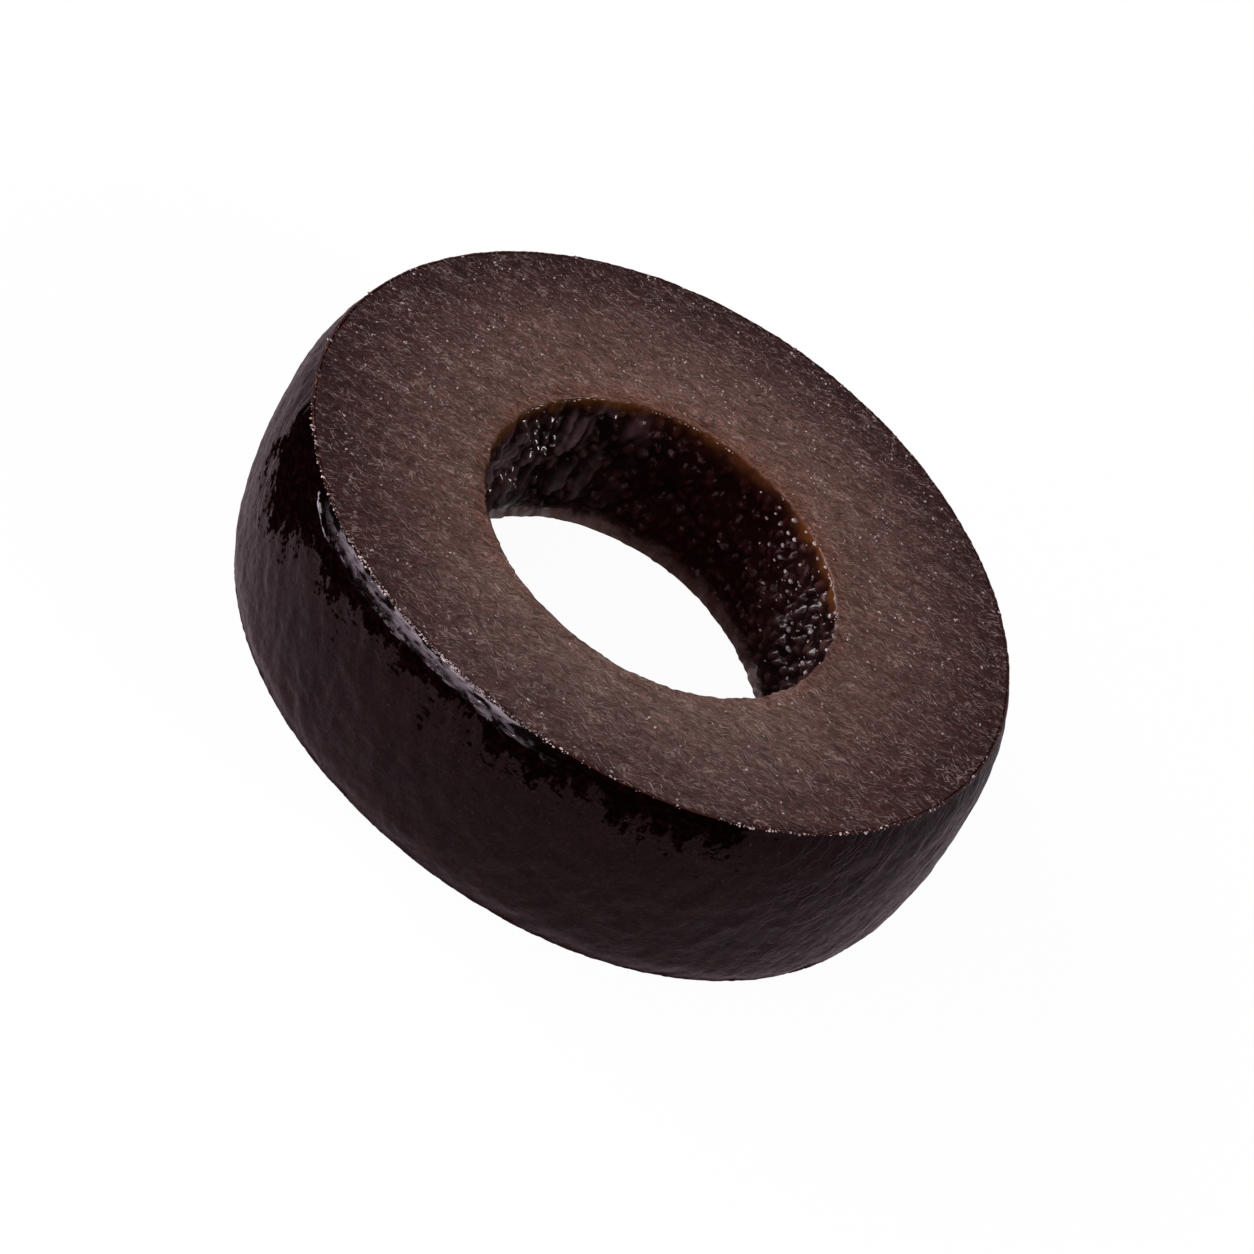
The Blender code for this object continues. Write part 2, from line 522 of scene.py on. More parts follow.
peelSettings = {
    "steps": 860,
    "coarseRows": 44,
    "fineRows": 42,
    "fineReach": 1.3 * mm,  # how far down from the upper cut the rows stay close
    "roundRows": 3,
    "backRows": 6,
    "cutReach": 0.3 * mm,  # how far from a cut the skin follows its unevenness
    "edgeRound": 0.016 * mm,
    "rimLean": 0.6,  # how far up or down the rim is pushed, for each step outwards
    "frontSide": 20,  # azimuth of the front, where the wrinkles run to and the skin has no creases
    "beadSide": 4,  # where the film hangs fullest
    "filmSide": 9,  # middle of the wet stretch
    "swellSide": -24,  # where it reaches a little lower
    "runSide": -35,  # where the film has run furthest down
    "frayedSide": -50,  # where the cut edge is frayed and amber
    "foldAngles": (-117, -107),  # from +X, where a small fold leaves the cut edge and where it ends
    "foldDepths": (0.13 * mm, 0.49 * mm),  # how far below the cut it is at those places
    "dryTones": ((0.003, 0.0013, 0.0015, 1), (0.0076, 0.0034, 0.0037, 1)),
    "poreTone": (0.06, 0.04, 0.042, 1),
    "filmTones": ((0.0011, 0.0003, 0.0003, 1), (0.0046, 0.0013, 0.0014, 1)),
    "edgeTones": ((0.045, 0.015, 0.012, 1), (0.14, 0.058, 0.022, 1)),  # plain and frayed
    "Bump Depth": 0.035 * mm,
    "Bump Length": 0.42 * mm,
    "Wrinkle Depth": 0.05 * mm,
    "Wrinkle Spacing": 0.55 * mm,
    "Dent Depth": 0.05 * mm,
    "Dent Length": 2.6 * mm,
    "Bead Height": 0.05 * mm,
    "Bead Reach": 0.42 * mm,
    "Fold Height": 0.045 * mm,
    "Ripple Depth": 0.007 * mm,
    "Rag Depth": 0.025 * mm,
}


def drawnOut(place, share):
    # The wrinkles run down and towards the front, so the place is squeezed that way
    along = (heading(peelSettings["frontSide"], 0) - Vector((0, 0, 1))).normalized()
    return vectorCalc("SUBTRACT", place, scaled(tuple(along), times(dot(place, along), share)))


def foldAt(place):
    # 1 on the crest of the fold, 0 from a tenth of a millimetre away; place is in millimetres
    ends = []
    for degrees, depth in zip(peelSettings["foldAngles"], peelSettings["foldDepths"]):
        loop = fruitLoop(np.radians(np.array([degrees])), sliceTop - depth, 0)
        ends.append(Vector(loop[0]) / mm)
    run = ends[1] - ends[0]
    outward = Vector((ends[0].x + ends[1].x, ends[0].y + ends[1].y, 0)).normalized()
    across = run.cross(outward).normalized()
    fromStart = vectorCalc("SUBTRACT", place, tuple(ends[0]))
    off = plus(dot(fromStart, across), wave(noiseAt(place, 2.5), 0.08))
    along = dot(fromStart, run.normalized())
    ridge = remap(calc("ABSOLUTE", off), 0.1, 0.0)
    lasting = times(remap(along, 0.0, 0.2), remap(along, run.length, run.length - 0.4))
    outside = remap(dot(place, outward), 7.0, 8.0)
    return times(times(ridge, lasting), outside)


def strayFrom(place, distance):
    # Both are in millimetres
    return shifted(place, distance, noiseAt(drawnOut(place, 0.5), 1.1, 5.0, 0.66, "Color"))


def wetAt(place):
    # 1 where the film lies: it ends in a torn line, lowest where it has run, with dashes of brine beyond it
    s = peelSettings
    strayed = strayFrom(place, 3.2)
    reach = remap(towards(strayed, s["filmSide"]), 0.57, 0.7, 0.0, 0.72)
    run = remap(towards(strayed, s["runSide"]), 0.972, 0.996)
    swell = remap(towards(strayed, s["swellSide"]), 0.85, 0.97, 0.0, 0.3)
    below = minus(sliceTop / mm, splitXyz(strayed)[2])
    filmLeft = minus(plus(plus(reach, swell), run), below)
    combed = noiseAt(drawnOut(place, 0.9), 3.4, 3.0, 0.6)
    fringe = noiseAt(drawnOut(place, 0.86), 8.0, 3.0, 0.6)
    filmLeft = plus(plus(filmLeft, wave(combed, 0.55)), wave(fringe, 0.5))
    dashes = remap(noiseAt(place, (3.2, 3.2, 6.0), 3.0, 0.6), 0.57, 0.63)
    dashes = times(dashes, remap(filmLeft, -0.75, -0.2))
    wet = greatest(remap(filmLeft, -0.03, 0.04), dashes)
    return times(wet, remap(reach, 0.0, 0.2))


def makePeelMaterial(name, **constants):
    s = peelSettings
    material, tree, shader = newMaterial(name, **constants)
    place = scaled(objectPlace(tree), 1 / mm)
    height = splitXyz(place)[2]
    belowCut = minus(sliceTop / mm, height)
    mottle = noiseAt(place, 1.1, 4.0, 0.6)
    pores = noiseAt(place, 14.0, 3.0, 0.65)
    grain = noiseAt(place, 6.5, 4.0, 0.62)
    tears = noiseAt(place, (4.5, 4.5, 9.0), 4.0, 0.68)
    streaks = noiseAt(place, (2.4, 2.4, 15.0), 4.0, 0.68)
    patches = noiseAt(place, (3.6, 3.6, 7.0), 4.0, 0.6)
    wet = wetAt(place)
    inCreases = scaled(drawnOut(strayFrom(place, 0.8), 0.86), 2.2)
    offCrease = calc("ABSOLUTE", minus(noiseAt(inCreases), 0.5))
    smoothFront = remap(towards(place, s["frontSide"]), 0.52, 0.78)
    crease = greatest(remap(offCrease, 0.0, 0.05), smoothFront)  # 0 in a crease

    dry = mixColour(mottle, *s["dryTones"])
    dry = shaded(dry, remap(pores, 0.3, 0.7, 0.4, 1.6, "LINEAR"))
    # Painted light: the dry skin is paler towards the lower cut, as if lit by the table below
    dry = shaded(dry, remap(height, 1.6, 0.0, 1.0, 1.55))
    # Painted shade: the dry skin is darker in the creases
    dry = shaded(dry, remap(crease, 0.0, 1.0, 0.6, 1.0))
    dry = mixColour(remap(pores, 0.64, 0.74, 0.0, 0.3), dry, s["poreTone"])
    film = mixColour(remap(tears, 0.45, 0.7), *s["filmTones"])
    tone = mixColour(wet, dry, film)
    frayed = remap(towards(place, s["frayedSide"]), 0.972, 0.992)
    edgeTone = mixColour(times(frayed, remap(noiseAt(place, 2.2), 0.55, 0.62)), *s["edgeTones"])
    rim = times(materialFact(tree, "rim"), remap(grain, 0.35, 0.6, 0.3, 1.0))
    link(mixColour(rim, tone, edgeTone), shader["Base Color"])

    # The bead catches the light, whole at the cut and torn into patches below
    bead = remap(plus(belowCut, wave(tears, 0.22)), 0.46, 0.38)
    bead = times(remap(towards(place, s["beadSide"]), 0.875, 0.966), bead)
    whole = remap(plus(belowCut, wave(tears, 0.2)), 0.28, 0.16)
    bead = times(bead, greatest(whole, remap(patches, 0.47, 0.54, 0.05, 0.9)))
    bead = times(bead, remap(streaks, 0.38, 0.64, 0.12, 1.0))
    thinner = plus(belowCut, wave(streaks, 0.3))
    bead = times(bead, remap(thinner, 0.02, 0.22, 1.0, 0.3))
    bead = greatest(bead, remap(foldAt(place), 0.5, 0.85, 0.0, 0.7))
    drops = times(wet, remap(tears, 0.66, 0.7))
    facingUp = remap(upwardness(tree), 0.38, 0.45)
    link(times(greatest(bead, drops), facingUp), shader["Coat Weight"])

    dryGloss = remap(grain, 0.3, 0.7, 0.4, 0.6)
    link(plus(dryGloss, times(wet, 0.4)), shader["Roughness"])
    relief = weighted(0.0, (grain, 0.6), (pores, 0.4), (tears, 0.3), (crease, 0.9))
    link(addBump(relief, 0.7, 0.03 * mm), shader["Normal"])
    return material


def buildPeelTree(dryMaterial, wetMaterial):
    s = peelSettings
    tree, given, wanted = newRelief("peelRelief", s)
    place = positionIn(tree)
    inMm = scaled(place, 1 / mm)
    bumps = wave(noiseAt(inSizes(place, given["Bump Length"]), 1.0, 3.0, 0.55), given["Bump Depth"])
    dents = times(noiseAt(inSizes(place, given["Dent Length"]), 1.0, 1.0), times(given["Dent Depth"], -1.0))
    wrinkles = noiseAt(inSizes(drawnOut(place, 0.65), given["Wrinkle Spacing"]))
    skin = plus(plus(bumps, dents), wave(wrinkles, given["Wrinkle Depth"]))
    skin = times(skin, readFact(tree, "push"))

    # The film swells below the cut, then thins out again
    reach = given["Bead Reach"]
    hanging = remap(towards(place, s["beadSide"]), 0.78, 0.9)
    uneven = remap(noiseAt(flattened(inMm), 0.9, 4.0, 0.65), 0.3, 0.7, 0.7, 1.4)
    below = times(readFact(tree, "depth"), uneven)
    rise = calc("POWER", remap(below, 0.0, reach, 1.0, 0.0, "LINEAR"), 2.2)
    fall = remap(below, reach, times(reach, 3.0), 1.0, 0.0)
    filmed = times(fall, hanging)
    fuller = remap(towards(place, s["swellSide"]), 0.8, 0.98, 1.0, 1.7)
    bead = times(minus(1.0, rise), times(given["Bead Height"], fuller))
    ripples = noiseAt(place, (3 / mm, 3 / mm, 11 / mm))
    film = times(plus(bead, wave(ripples, given["Ripple Depth"])), filmed)
    torn = wave(noiseAt(place, 5.5 / mm, 3.0, 0.65), given["Rag Depth"])
    rag = times(torn, readFact(tree, "rim"))
    skin = times(skin, minus(1.0, times(filmed, 0.85)))
    fold = times(foldAt(inMm), given["Fold Height"])
    total = plus(plus(skin, film), plus(rag, fold))
    wetFaces = calc("GREATER_THAN", wetAt(inMm), 0.5)
    cut = sunkAtCut(pushed(given["Geometry"], total))
    finishTree(cut, wanted, dryMaterial, (wetMaterial, wetFaces))
    return tree


def makePeel():
    s = peelSettings
    angle = onceRound(s["steps"])
    edge, fineFrom = s["edgeRound"], sliceTop - s["fineReach"]
    coarse = np.linspace(edge, fineFrom, s["coarseRows"], endpoint=False)
    fine = np.linspace(fineFrom, sliceTop - edge, s["fineRows"])
    heights, backs = roundedRows(np.concatenate((coarse, fine)), s["roundRows"], edge)
    outside = [fruitLoop(angle, height, back) for height, back in zip(heights, backs)]
    backHeights = np.linspace(sliceTop, 0, s["backRows"])
    inside = [fruitLoop(angle, height, sliceForm["skinThickness"]) for height in backHeights]
    loops = np.array(outside + inside)

    rowHeights = np.concatenate((heights, backHeights))
    upOrDown = np.sign(rowHeights - sliceTop / 2)
    isOutside = np.arange(len(loops)) < len(outside)
    rim = np.concatenate((backs / edge, np.zeros(len(inside))))
    rim[len(outside)] = rim[-1] = 1
    outward = levelOutward(angle, len(loops))
    outward[:, :, 2] += (rim * upOrDown)[:, None] * s["rimLean"]
    facts = {
        "outward": outward,
        "facing": np.clip(1 - fromCut(rowHeights) / s["cutReach"], 0, 1) * upOrDown,
        "push": isOutside * (1 - rim),
        "depth": np.where(isOutside, sliceTop - rowHeights, 1.0),
        "rim": rim,
    }
    peel = ringPiece("peel", loops, facts)
    dryPeel = makePeelMaterial(
        "dryPeelFinish", Specular_IOR_Level=0.03, Specular_Tint=(1, 0.7, 0.8, 1),
        Sheen_Weight=0.11, Sheen_Roughness=0.35, Sheen_Tint=(1, 0.6, 0.72, 1)
    )
    wetPeel = makePeelMaterial("wetPeelFinish", Specular_IOR_Level=0.0, Coat_Roughness=0.07, Coat_IOR=1.66)
    runTree(peel, buildPeelTree(dryPeel, wetPeel), s)
    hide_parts("skin")
    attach(peel, "root")


# Pulp ring: the two cut faces with their strands

pulpSettings = {
    "steps": 720,
    "upperRows": 60,
    "lowerRows": 30,
    "Strand Depth": 0.03 * mm,
    "Strand Spacing": 0.16 * mm,
    "Strand Length": 0.45 * mm,
    "Lump Depth": 0.05 * mm,
    "Lump Length": 0.9 * mm,
    "Furrow Depth": 0.035 * mm,
    "Furrow Spacing": 0.5 * mm,
}


def makePulpMaterial():
    material, tree, shader = newMaterial("pulpFinish", Specular_IOR_Level=0.15)
    look = placePulp(tree)
    link(look["Colour"], shader["Base Color"])
    link(look["Gloss"], shader["Roughness"])
    link(addBump(look["Strand"], 0.9, 0.025 * mm), shader["Normal"])
    return material


def buildCutRelief():
    # How far the knife's cut sinks at each place, the same for every piece that the cut crosses
    inputs = namedInputs(pulpSettings)
    tree, given, wanted = newGroup("cutRelief", "GeometryNodeTree", inputs, [("Sink", "Float")])
    place = scaled(positionIn(tree), 1 / mm)  # millimetres, as are the sizes

    def sizeOf(label):
        return calc("DIVIDE", given[label], mm)

    strands = strandNoise(place, sizeOf("Strand Spacing"), sizeOf("Strand Length"))
    lumps = noiseAt(inSizes(place, sizeOf("Lump Length")))

    # Furrows run out to the skin
    away = fromPit(place, sliceTop)
    around = scaled(vectorCalc("NORMALIZE", away), calc("DIVIDE", 6.2, sizeOf("Furrow Spacing")))
    along = joinXyz(0.0, 0.0, vectorCalc("LENGTH", scaled(away, 0.25)))
    furrows = noiseAt(vectorCalc("ADD", around, along), 1.0, 2.0, 0.55)
    furrows = times(furrows, remap(outlineShare(place), 0.7, 0.92))
    strandDepth, lumpDepth = given["Strand Depth"], given["Lump Depth"]
    relief = weighted(0.0, (strands, strandDepth), (lumps, lumpDepth), (furrows, given["Furrow Depth"]))
    link(minus(relief, plus(strandDepth, lumpDepth)), wanted["Sink"])
    return tree


cutRelief = buildCutRelief()


def buildPulpTree(material):
    tree, given, wanted = newRelief("pulpRelief", {})
    finishTree(sunkAtCut(given["Geometry"]), wanted, material)
    return tree


def makePulpRing():
    s = pulpSettings
    angle = onceRound(s["steps"])
    inset = sliceForm["skinThickness"] + sliceForm["layerGap"]
    wallFacing = [-1, 0, 1]
    outerWall = [fruitLoop(angle, height, inset) for height in wallHeights]
    bore = [pitLoop(angle, height, sliceForm["liningThickness"]) for height in wallHeights[::-1]]
    upper = between(outerWall[-1], bore[0], s["upperRows"])
    lower = between(bore[-1], outerWall[0], s["lowerRows"])
    loops = np.array(outerWall + upper + bore + lower)
    facing = wallFacing + [1] * len(upper) + wallFacing[::-1] + [-1] * len(lower)
    pulpRing = ringPiece("pulpRing", loops, {"facing": np.array(facing)})
    runTree(pulpRing, buildPulpTree(makePulpMaterial()), {})
    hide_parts("flesh")
    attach(pulpRing, "root")


# Pit lining: the torn, wet, pebbled wall that the stone left

liningSettings = {
    "steps": 720,
    "wallRows": 100,
    "roundRows": 6,
    "edgeRound": 0.12 * mm,
    "ringRows": 5,
    "leastPush": 0.15,  # share of the relief that is left at a cut
    "pushReach": 0.7 * mm,  # over which it grows by one
    "rimGain": 3,  # how soon the rounded edge takes on the look of the cut
    "dripAngle": 172,  # from +X, where brine runs down the wall
    "litAngle": 58,  # where its wet edge catches the light
    # amberAngle: where the painted light through the thin torn edge is strongest
    "amberAngle": 165,  # where the torn edge is thinnest
    # the wall's darker tone towards darkAngle is painted shade
    "darkAngle": 108,  # where the wall is darkest
    "wallTones": ((0.046, 0.0122, 0.0105, 1), (0.088, 0.042, 0.038, 1)),  # there, and well to either side
    # pale mauve on the brine drips: painted reflection
    "dripTone": (0.08, 0.047, 0.054, 1),
    # pale flecks on the upper sides of the pebbles: painted glints
    "fleckTone": (0.075, 0.048, 0.046, 1),
    # warm and amber tones under the upper cut: painted light shining through thin pulp
    "warmTone": (0.03, 0.009, 0.005, 1),
    "amberTone": (0.066, 0.0245, 0.0065, 1),
    "footTones": ((0.1, 0.046, 0.04, 1), (0.34, 0.2, 0.18, 1)),  # in shade and lit
    # pale streaks on the foot: painted sheen
    "streakTone": (0.34, 0.245, 0.26, 1),
    "Pebble Depth": 0.2 * mm,
    "Pebble Size": 0.28 * mm,
    "Grit Depth": 0.02 * mm,
    "Grit Size": 0.15 * mm,
    "Drip Depth": 0.07 * mm,
    "Drip Width": 0.36 * mm,
}


def makeLiningMaterial():
    s = liningSettings
    material, tree, shader = newMaterial(
        "tornPulpFinish", Specular_IOR_Level=0.0, Coat_Roughness=0.2, Coat_IOR=1.55
    )
    look = placePulp(tree)
    place = scaled(objectPlace(tree), 1 / mm)
    height = splitXyz(place)[2]
    belowCut = minus(sliceTop / mm, height)
    upward = upwardness(tree)
    rim, dome, drip = (materialFact(tree, fact) for fact in ("rim", "dome", "drip"))
    mottle = noiseAt(place, 1.4, 4.0, 0.6)
    grain = noiseAt(place, 9.0, 3.0, 0.6)
    specks = noiseAt(place, (6.5, 6.5, 4.5), 2.0, 0.6)
    streaks = noiseAt(strayFrom(place, 0.7), (3.2, 3.2, 0.9), 3.0, 0.6)

    # 0 where the wall is darkest, 1 well to either side; the darker tone there is painted shade
    across = remap(fromPitTowards(place, s["darkAngle"]), 0.97, 0.45)
    tone = mixColour(across, *s["wallTones"])
    # Painted shade: the wall is darker towards the upper cut
    tone = shaded(tone, remap(height, 2.2, 4.2, 1.0, 0.4))
    # Painted shade: darker in the hollows between the pebbles, most where the wall is darkest
    raised = times(dome, remap(mottle, 0.3, 0.65, 0.4, 1.0))
    darkest = remap(across, 0.3, 0.9, 0.35, 0.16)
    tone = shaded(tone, remap(raised, 0.0, 0.9, darkest, 1.05, "LINEAR"))
    # Painted reflection: the brine drips are pale mauve
    tone = mixColour(times(drip, 0.65), tone, s["dripTone"])
    # Painted glints: pale flecks where the pebbles face upward
    paintedGlints = times(remap(specks, 0.5, 0.62), remap(upward, 0.0, 0.4))
    paintedGlints = times(paintedGlints, remap(across, 0.2, 0.8, 0.9, 0.3))
    tone = mixColour(paintedGlints, tone, s["fleckTone"])

    # Painted light shining through the thin torn pulp under the upper cut: warm, and amber at the edge
    thin = remap(fromPitTowards(place, s["amberAngle"]), -0.3, 0.9)
    thin = greatest(thin, remap(fromPitTowards(place, s["litAngle"]), 0.9, 0.98))
    warm = remap(plus(belowCut, wave(mottle, 0.35)), 1.0, 0.15, 0.0, 0.6)
    tone = mixColour(times(warm, thin), tone, s["warmTone"])
    amber = weighted(belowCut, (mottle, 0.5), (grain, 0.2))
    amber = remap(minus(amber, 0.35), 0.46, 0.04)
    tone = mixColour(times(amber, thin), tone, s["amberTone"])

    # The foot is paler, painted light from below, with pale streaks of painted sheen
    foot = remap(plus(height, wave(mottle, 0.7)), 0.8, 0.1)
    footLit = remap(fromPitTowards(place, s["dripAngle"]), 0.55, 0.95, 0.0, 0.8)
    footLit = greatest(across, footLit)
    footTone = mixColour(footLit, *s["footTones"])
    pale = times(remap(streaks, 0.45, 0.62), remap(footLit, 0.0, 0.6, 0.1, 0.6))
    footTone = mixColour(pale, footTone, s["streakTone"])
    tone = mixColour(times(foot, 0.85), tone, footTone)
    link(mixColour(rim, tone, look["Colour"]), shader["Base Color"])
    link(remap(grain, 0.3, 0.7, 0.3, 0.6), shader["Roughness"])

    # Brine lies on the upper side of each pebble, and in streaks down the foot and the drips
    film = times(remap(upward, 0.46, 0.6), remap(across, 0.1, 0.7, 0.2, 1.0))
    wetFoot = times(foot, remap(streaks, 0.42, 0.62, 0.05, 0.7))
    wetDrips = times(drip, remap(streaks, 0.45, 0.6, 0.0, 0.15))
    running = times(greatest(wetFoot, wetDrips), remap(across, 0.1, 0.7, 0.1, 1.0))
    film = greatest(film, running)
    link(times(film, minus(1.0, rim)), shader["Coat Weight"])
    bumps = weighted(times(look["Strand"], rim), (grain, 0.6))
    link(addBump(bumps, 0.6, 0.03 * mm), shader["Normal"])
    return material


def buildLiningTree(material):
    s = liningSettings
    tree, given, wanted = newRelief("pitRelief", s)
    place = positionIn(tree)
    inMm = scaled(place, 1 / mm)
    stretched = vectorCalc("MULTIPLY", place, (1, 1, 0.74))
    runDown = vectorCalc("MULTIPLY", place, (1, 1, 0.16))

    # Pebbles of uneven size and height
    inPebbles = inSizes(stretched, given["Pebble Size"])
    packed = shifted(inPebbles, 1.2, noiseAt(inPebbles, 0.8, output="Color"))
    sockets = {"Vector": packed, "Scale": 1.0, "Smoothness": 0.5}
    cells = addNode(tree, "ShaderNodeTexVoronoi", sockets, feature="SMOOTH_F1").outputs["Distance"]
    dome = minus(1.0, calc("POWER", times(cells, 1.9), 1.5))
    dome = greatest(dome, -0.1)
    drips = remap(noiseAt(inSizes(runDown, given["Drip Width"]), 1.0, 1.0), 0.45, 0.66)
    drips = times(drips, remap(fromPitTowards(inMm, s["dripAngle"]), 0.78, 0.95))
    bare = minus(1.0, times(drips, 0.5))
    stand = remap(noiseAt(inPebbles, 0.45, 1.0), 0.35, 0.65, 0.5, 1.25)
    smoothed = remap(fromPitTowards(inMm, s["darkAngle"]), 0.55, 0.92, 1.0, 0.75)
    stand = times(stand, smoothed)
    pebbles = times(minus(dome, 0.5), times(given["Pebble Depth"], stand))
    pebbles = times(pebbles, bare)
    grit = wave(noiseAt(inSizes(stretched, given["Grit Size"])), times(given["Grit Depth"], bare))
    relief = plus(plus(pebbles, grit), times(drips, given["Drip Depth"]))
    kept = keepFact(given["Geometry"], "dome", remap(dome, 0.0, 1.0))
    kept = keepFact(kept, "drip", drips)
    torn = pushed(kept, times(relief, readFact(tree, "push")))
    finishTree(sunkAtCut(torn), wanted, material)
    return tree


def makeLining():
    s = liningSettings
    angle = onceRound(s["steps"])
    edge = s["edgeRound"]
    back = [pitLoop(angle, height, sliceForm["liningThickness"]) for height in wallHeights]
    heights, setBacks = roundedRows(np.linspace(edge, sliceTop - edge, s["wallRows"]), s["roundRows"], edge)
    heights, setBacks = heights[::-1], setBacks[::-1]
    wall = [tornLoop(angle, height, setBack) for height, setBack in zip(heights, setBacks)]
    upperRing = between(back[-1], wall[0], s["ringRows"])
    lowerRing = between(wall[-1], back[0], s["ringRows"])
    loops = np.array(back + upperRing + wall + lowerRing)

    wallPush = np.clip(s["leastPush"] + fromCut(heights) / s["pushReach"], 0, 1)
    wallRim = np.clip(setBacks / edge * s["rimGain"], 0, 1)
    wallFacing = np.sign(heights - sliceTop / 2) * setBacks / edge
    ring, backRows = np.ones(len(upperRing)), np.ones(len(back))
    facts = {
        "outward": -levelOutward(angle, len(loops)),
        "push": np.concatenate((backRows * 0, ring * 0, wallPush, ring * 0)),
        "rim": np.concatenate((backRows, ring, wallRim, ring)),
        "facing": np.concatenate(((-1, 0, 1), ring, wallFacing, -ring)),
    }
    lining = ringPiece("pitLining", loops, facts)
    runTree(lining, buildLiningTree(makeLiningMaterial()), s)
    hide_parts("pit_hole_lining")
    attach(lining, "root")
    return lining


# Loose strand ends on both cut faces, and beads of brine whose pale tones are painted glints

scatterSettings = {
    "steps": 360,
    "faceRows": 40,
    "rimRows": 3,
    "holeOutset": 0.25 * mm,  # how far from the hole's wall the scatter on a cut face begins
    "dropHeight": 0.7,  # as a share of its width
}
strandSettings = {
    "upperCount": 7000,
    "lowerCount": 3500,
    "facets": (4, 3),
    "Seed": 4,
    "Thinnest": 0.012 * mm,
    "Thickest": 0.022 * mm,
    "Rarity": 1.0,
    "Least Stretch": 4.0,
    "Most Stretch": 13.0,
    "Stray": 55.0,
}

# A wet stretch is its share of the beads, its middle from +X, its reach and its fade.
# A band is the depth below the cut and the distance into the pulp, at its outer and its inner edge.
beadSettings = {
    "faceCount": 1800,
    "facets": (6, 4),
    "farSide": (130, 60, 50),  # middle, reach and fade of the wetter side of the cut face
    "rimBeads": {
        "count": 800,
        "band": ((0.02 * mm, 0), (0, 0.06 * mm)),
        "stretches": ((1, -84, 20, 8), (0.3, -118, 12, 6), (0.2, -14, 16, 10)),  # film, fold and front right
        "elsewhere": 0.04,
    },
    "holeRimBeads": {
        "count": 860,
        "band": ((0.05 * mm, 0.09 * mm), (0.14 * mm, 0.02 * mm)),
        "stretches": ((0.8, 110, 75, 15), (1, 60, 12, 12)),
        "elsewhere": 0.08,
    },
    # pale tones of the specks and beads: painted glints
    "speckTone": (0.3, 0.245, 0.23, 1),
    "brineTone": (0.42, 0.35, 0.34, 1),
    "Seed": 11,
    "Thinnest": 0.02 * mm,
    "Thickest": 0.068 * mm,
    "Rarity": 3.0,
    "Least Stretch": 0.9,
    "Most Stretch": 1.8,
    "Stray": 180.0,
}
wallBeadSettings = {
    "count": 150,
    "facets": (8, 5),
    "stretches": ((1, 58, 22, 16), (0.2, 168, 10, 12)),  # where the wall is wettest, and by the drips
    "elsewhere": 0.04,
    "lowest": 1.2 * mm,
    "lowFade": 0.8 * mm,
    "topFade": 0.2 * mm,
    "wallReach": 0.2 * mm,  # how far behind the mean wall its hollows lie
    # pale tone of the wall beads: painted glint
    "tone": (0.3, 0.25, 0.25, 1),
    "Seed": 7,
    "Thinnest": 0.045 * mm,
    "Thickest": 0.17 * mm,
    "Rarity": 1.6,
    "Least Stretch": 0.8,
    "Most Stretch": 1.6,
    "Stray": 180.0,
}


def wetShare(angle, stretches, elsewhere):
    shares = [share * nearAngle(angle, *stretch) for share, *stretch in stretches]
    return np.maximum(np.max(shares, axis=0), elsewhere)


def scatterSheet(name, outer, inner, rows, facing, share):
    # An open ring between two loops, only to scatter on; share thins the scatter from place to place
    loops = np.array([outer + (inner - outer) * step for step in np.linspace(0, 1, rows)])
    facts = {"facing": np.full(rows, facing), "share": np.outer(np.ones(rows), share)}
    sheet = ringPiece(name, loops, facts, closed=False)
    area = sum(polygon.area for polygon in sheet.data.polygons) * share.mean()
    return sheet, area


def randomValue(tree, low, high, seed):
    node = addNode(tree, "FunctionNodeRandomValue", {2: low, 3: high, "Seed": seed}, data_type="FLOAT")
    return node.outputs[1]


def buildScatterTree(name, settings, material):
    tree, given, wanted = newRelief(name, {"Density": 1.0, **settings})
    cut = sunkAtCut(given["Geometry"])
    density = times(given["Density"], readFact(tree, "share"))
    sockets = {"Mesh": cut, "Density": density, "Seed": given["Seed"]}
    points = addNode(tree, "GeometryNodeDistributePointsOnFaces", sockets).outputs["Points"]
    stray = calc("RADIANS", given["Stray"])
    turn = randomValue(tree, times(stray, -1.0), stray, 1)
    turn = plus(turn, math.radians(pulpTones["strandAngle"]))
    turned = addNode(tree, "FunctionNodeEulerToRotation", {0: joinXyz(0.0, 0.0, turn)}).outputs[0]
    chance = calc("POWER", randomValue(tree, 0.0, 1.0, 2), given["Rarity"])
    width = weighted(given["Thinnest"], (chance, minus(given["Thickest"], given["Thinnest"])))
    length = times(width, randomValue(tree, given["Least Stretch"], given["Most Stretch"], 3))
    size = joinXyz(length, width, times(width, scatterSettings["dropHeight"]))
    segments, rings = settings["facets"]
    sockets = {"Segments": segments, "Rings": rings, "Radius": 0.5}
    drop = addNode(tree, "GeometryNodeMeshUVSphere", sockets).outputs[0]
    sockets = {"Geometry": drop, "Rotation": (0.0, math.pi / 2, 0.0)}
    lying = addNode(tree, "GeometryNodeTransform", sockets).outputs[0]
    sockets = {"Points": points, "Instance": lying, "Rotation": turned, "Scale": size}
    finishTree(addNode(tree, "GeometryNodeInstanceOnPoints", sockets).outputs[0], wanted, material)
    return tree


def makeScatter(sheet, area, count, tree, settings):
    runTree(sheet, tree, {**settings, "Density": count / area})
    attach(sheet, "root")


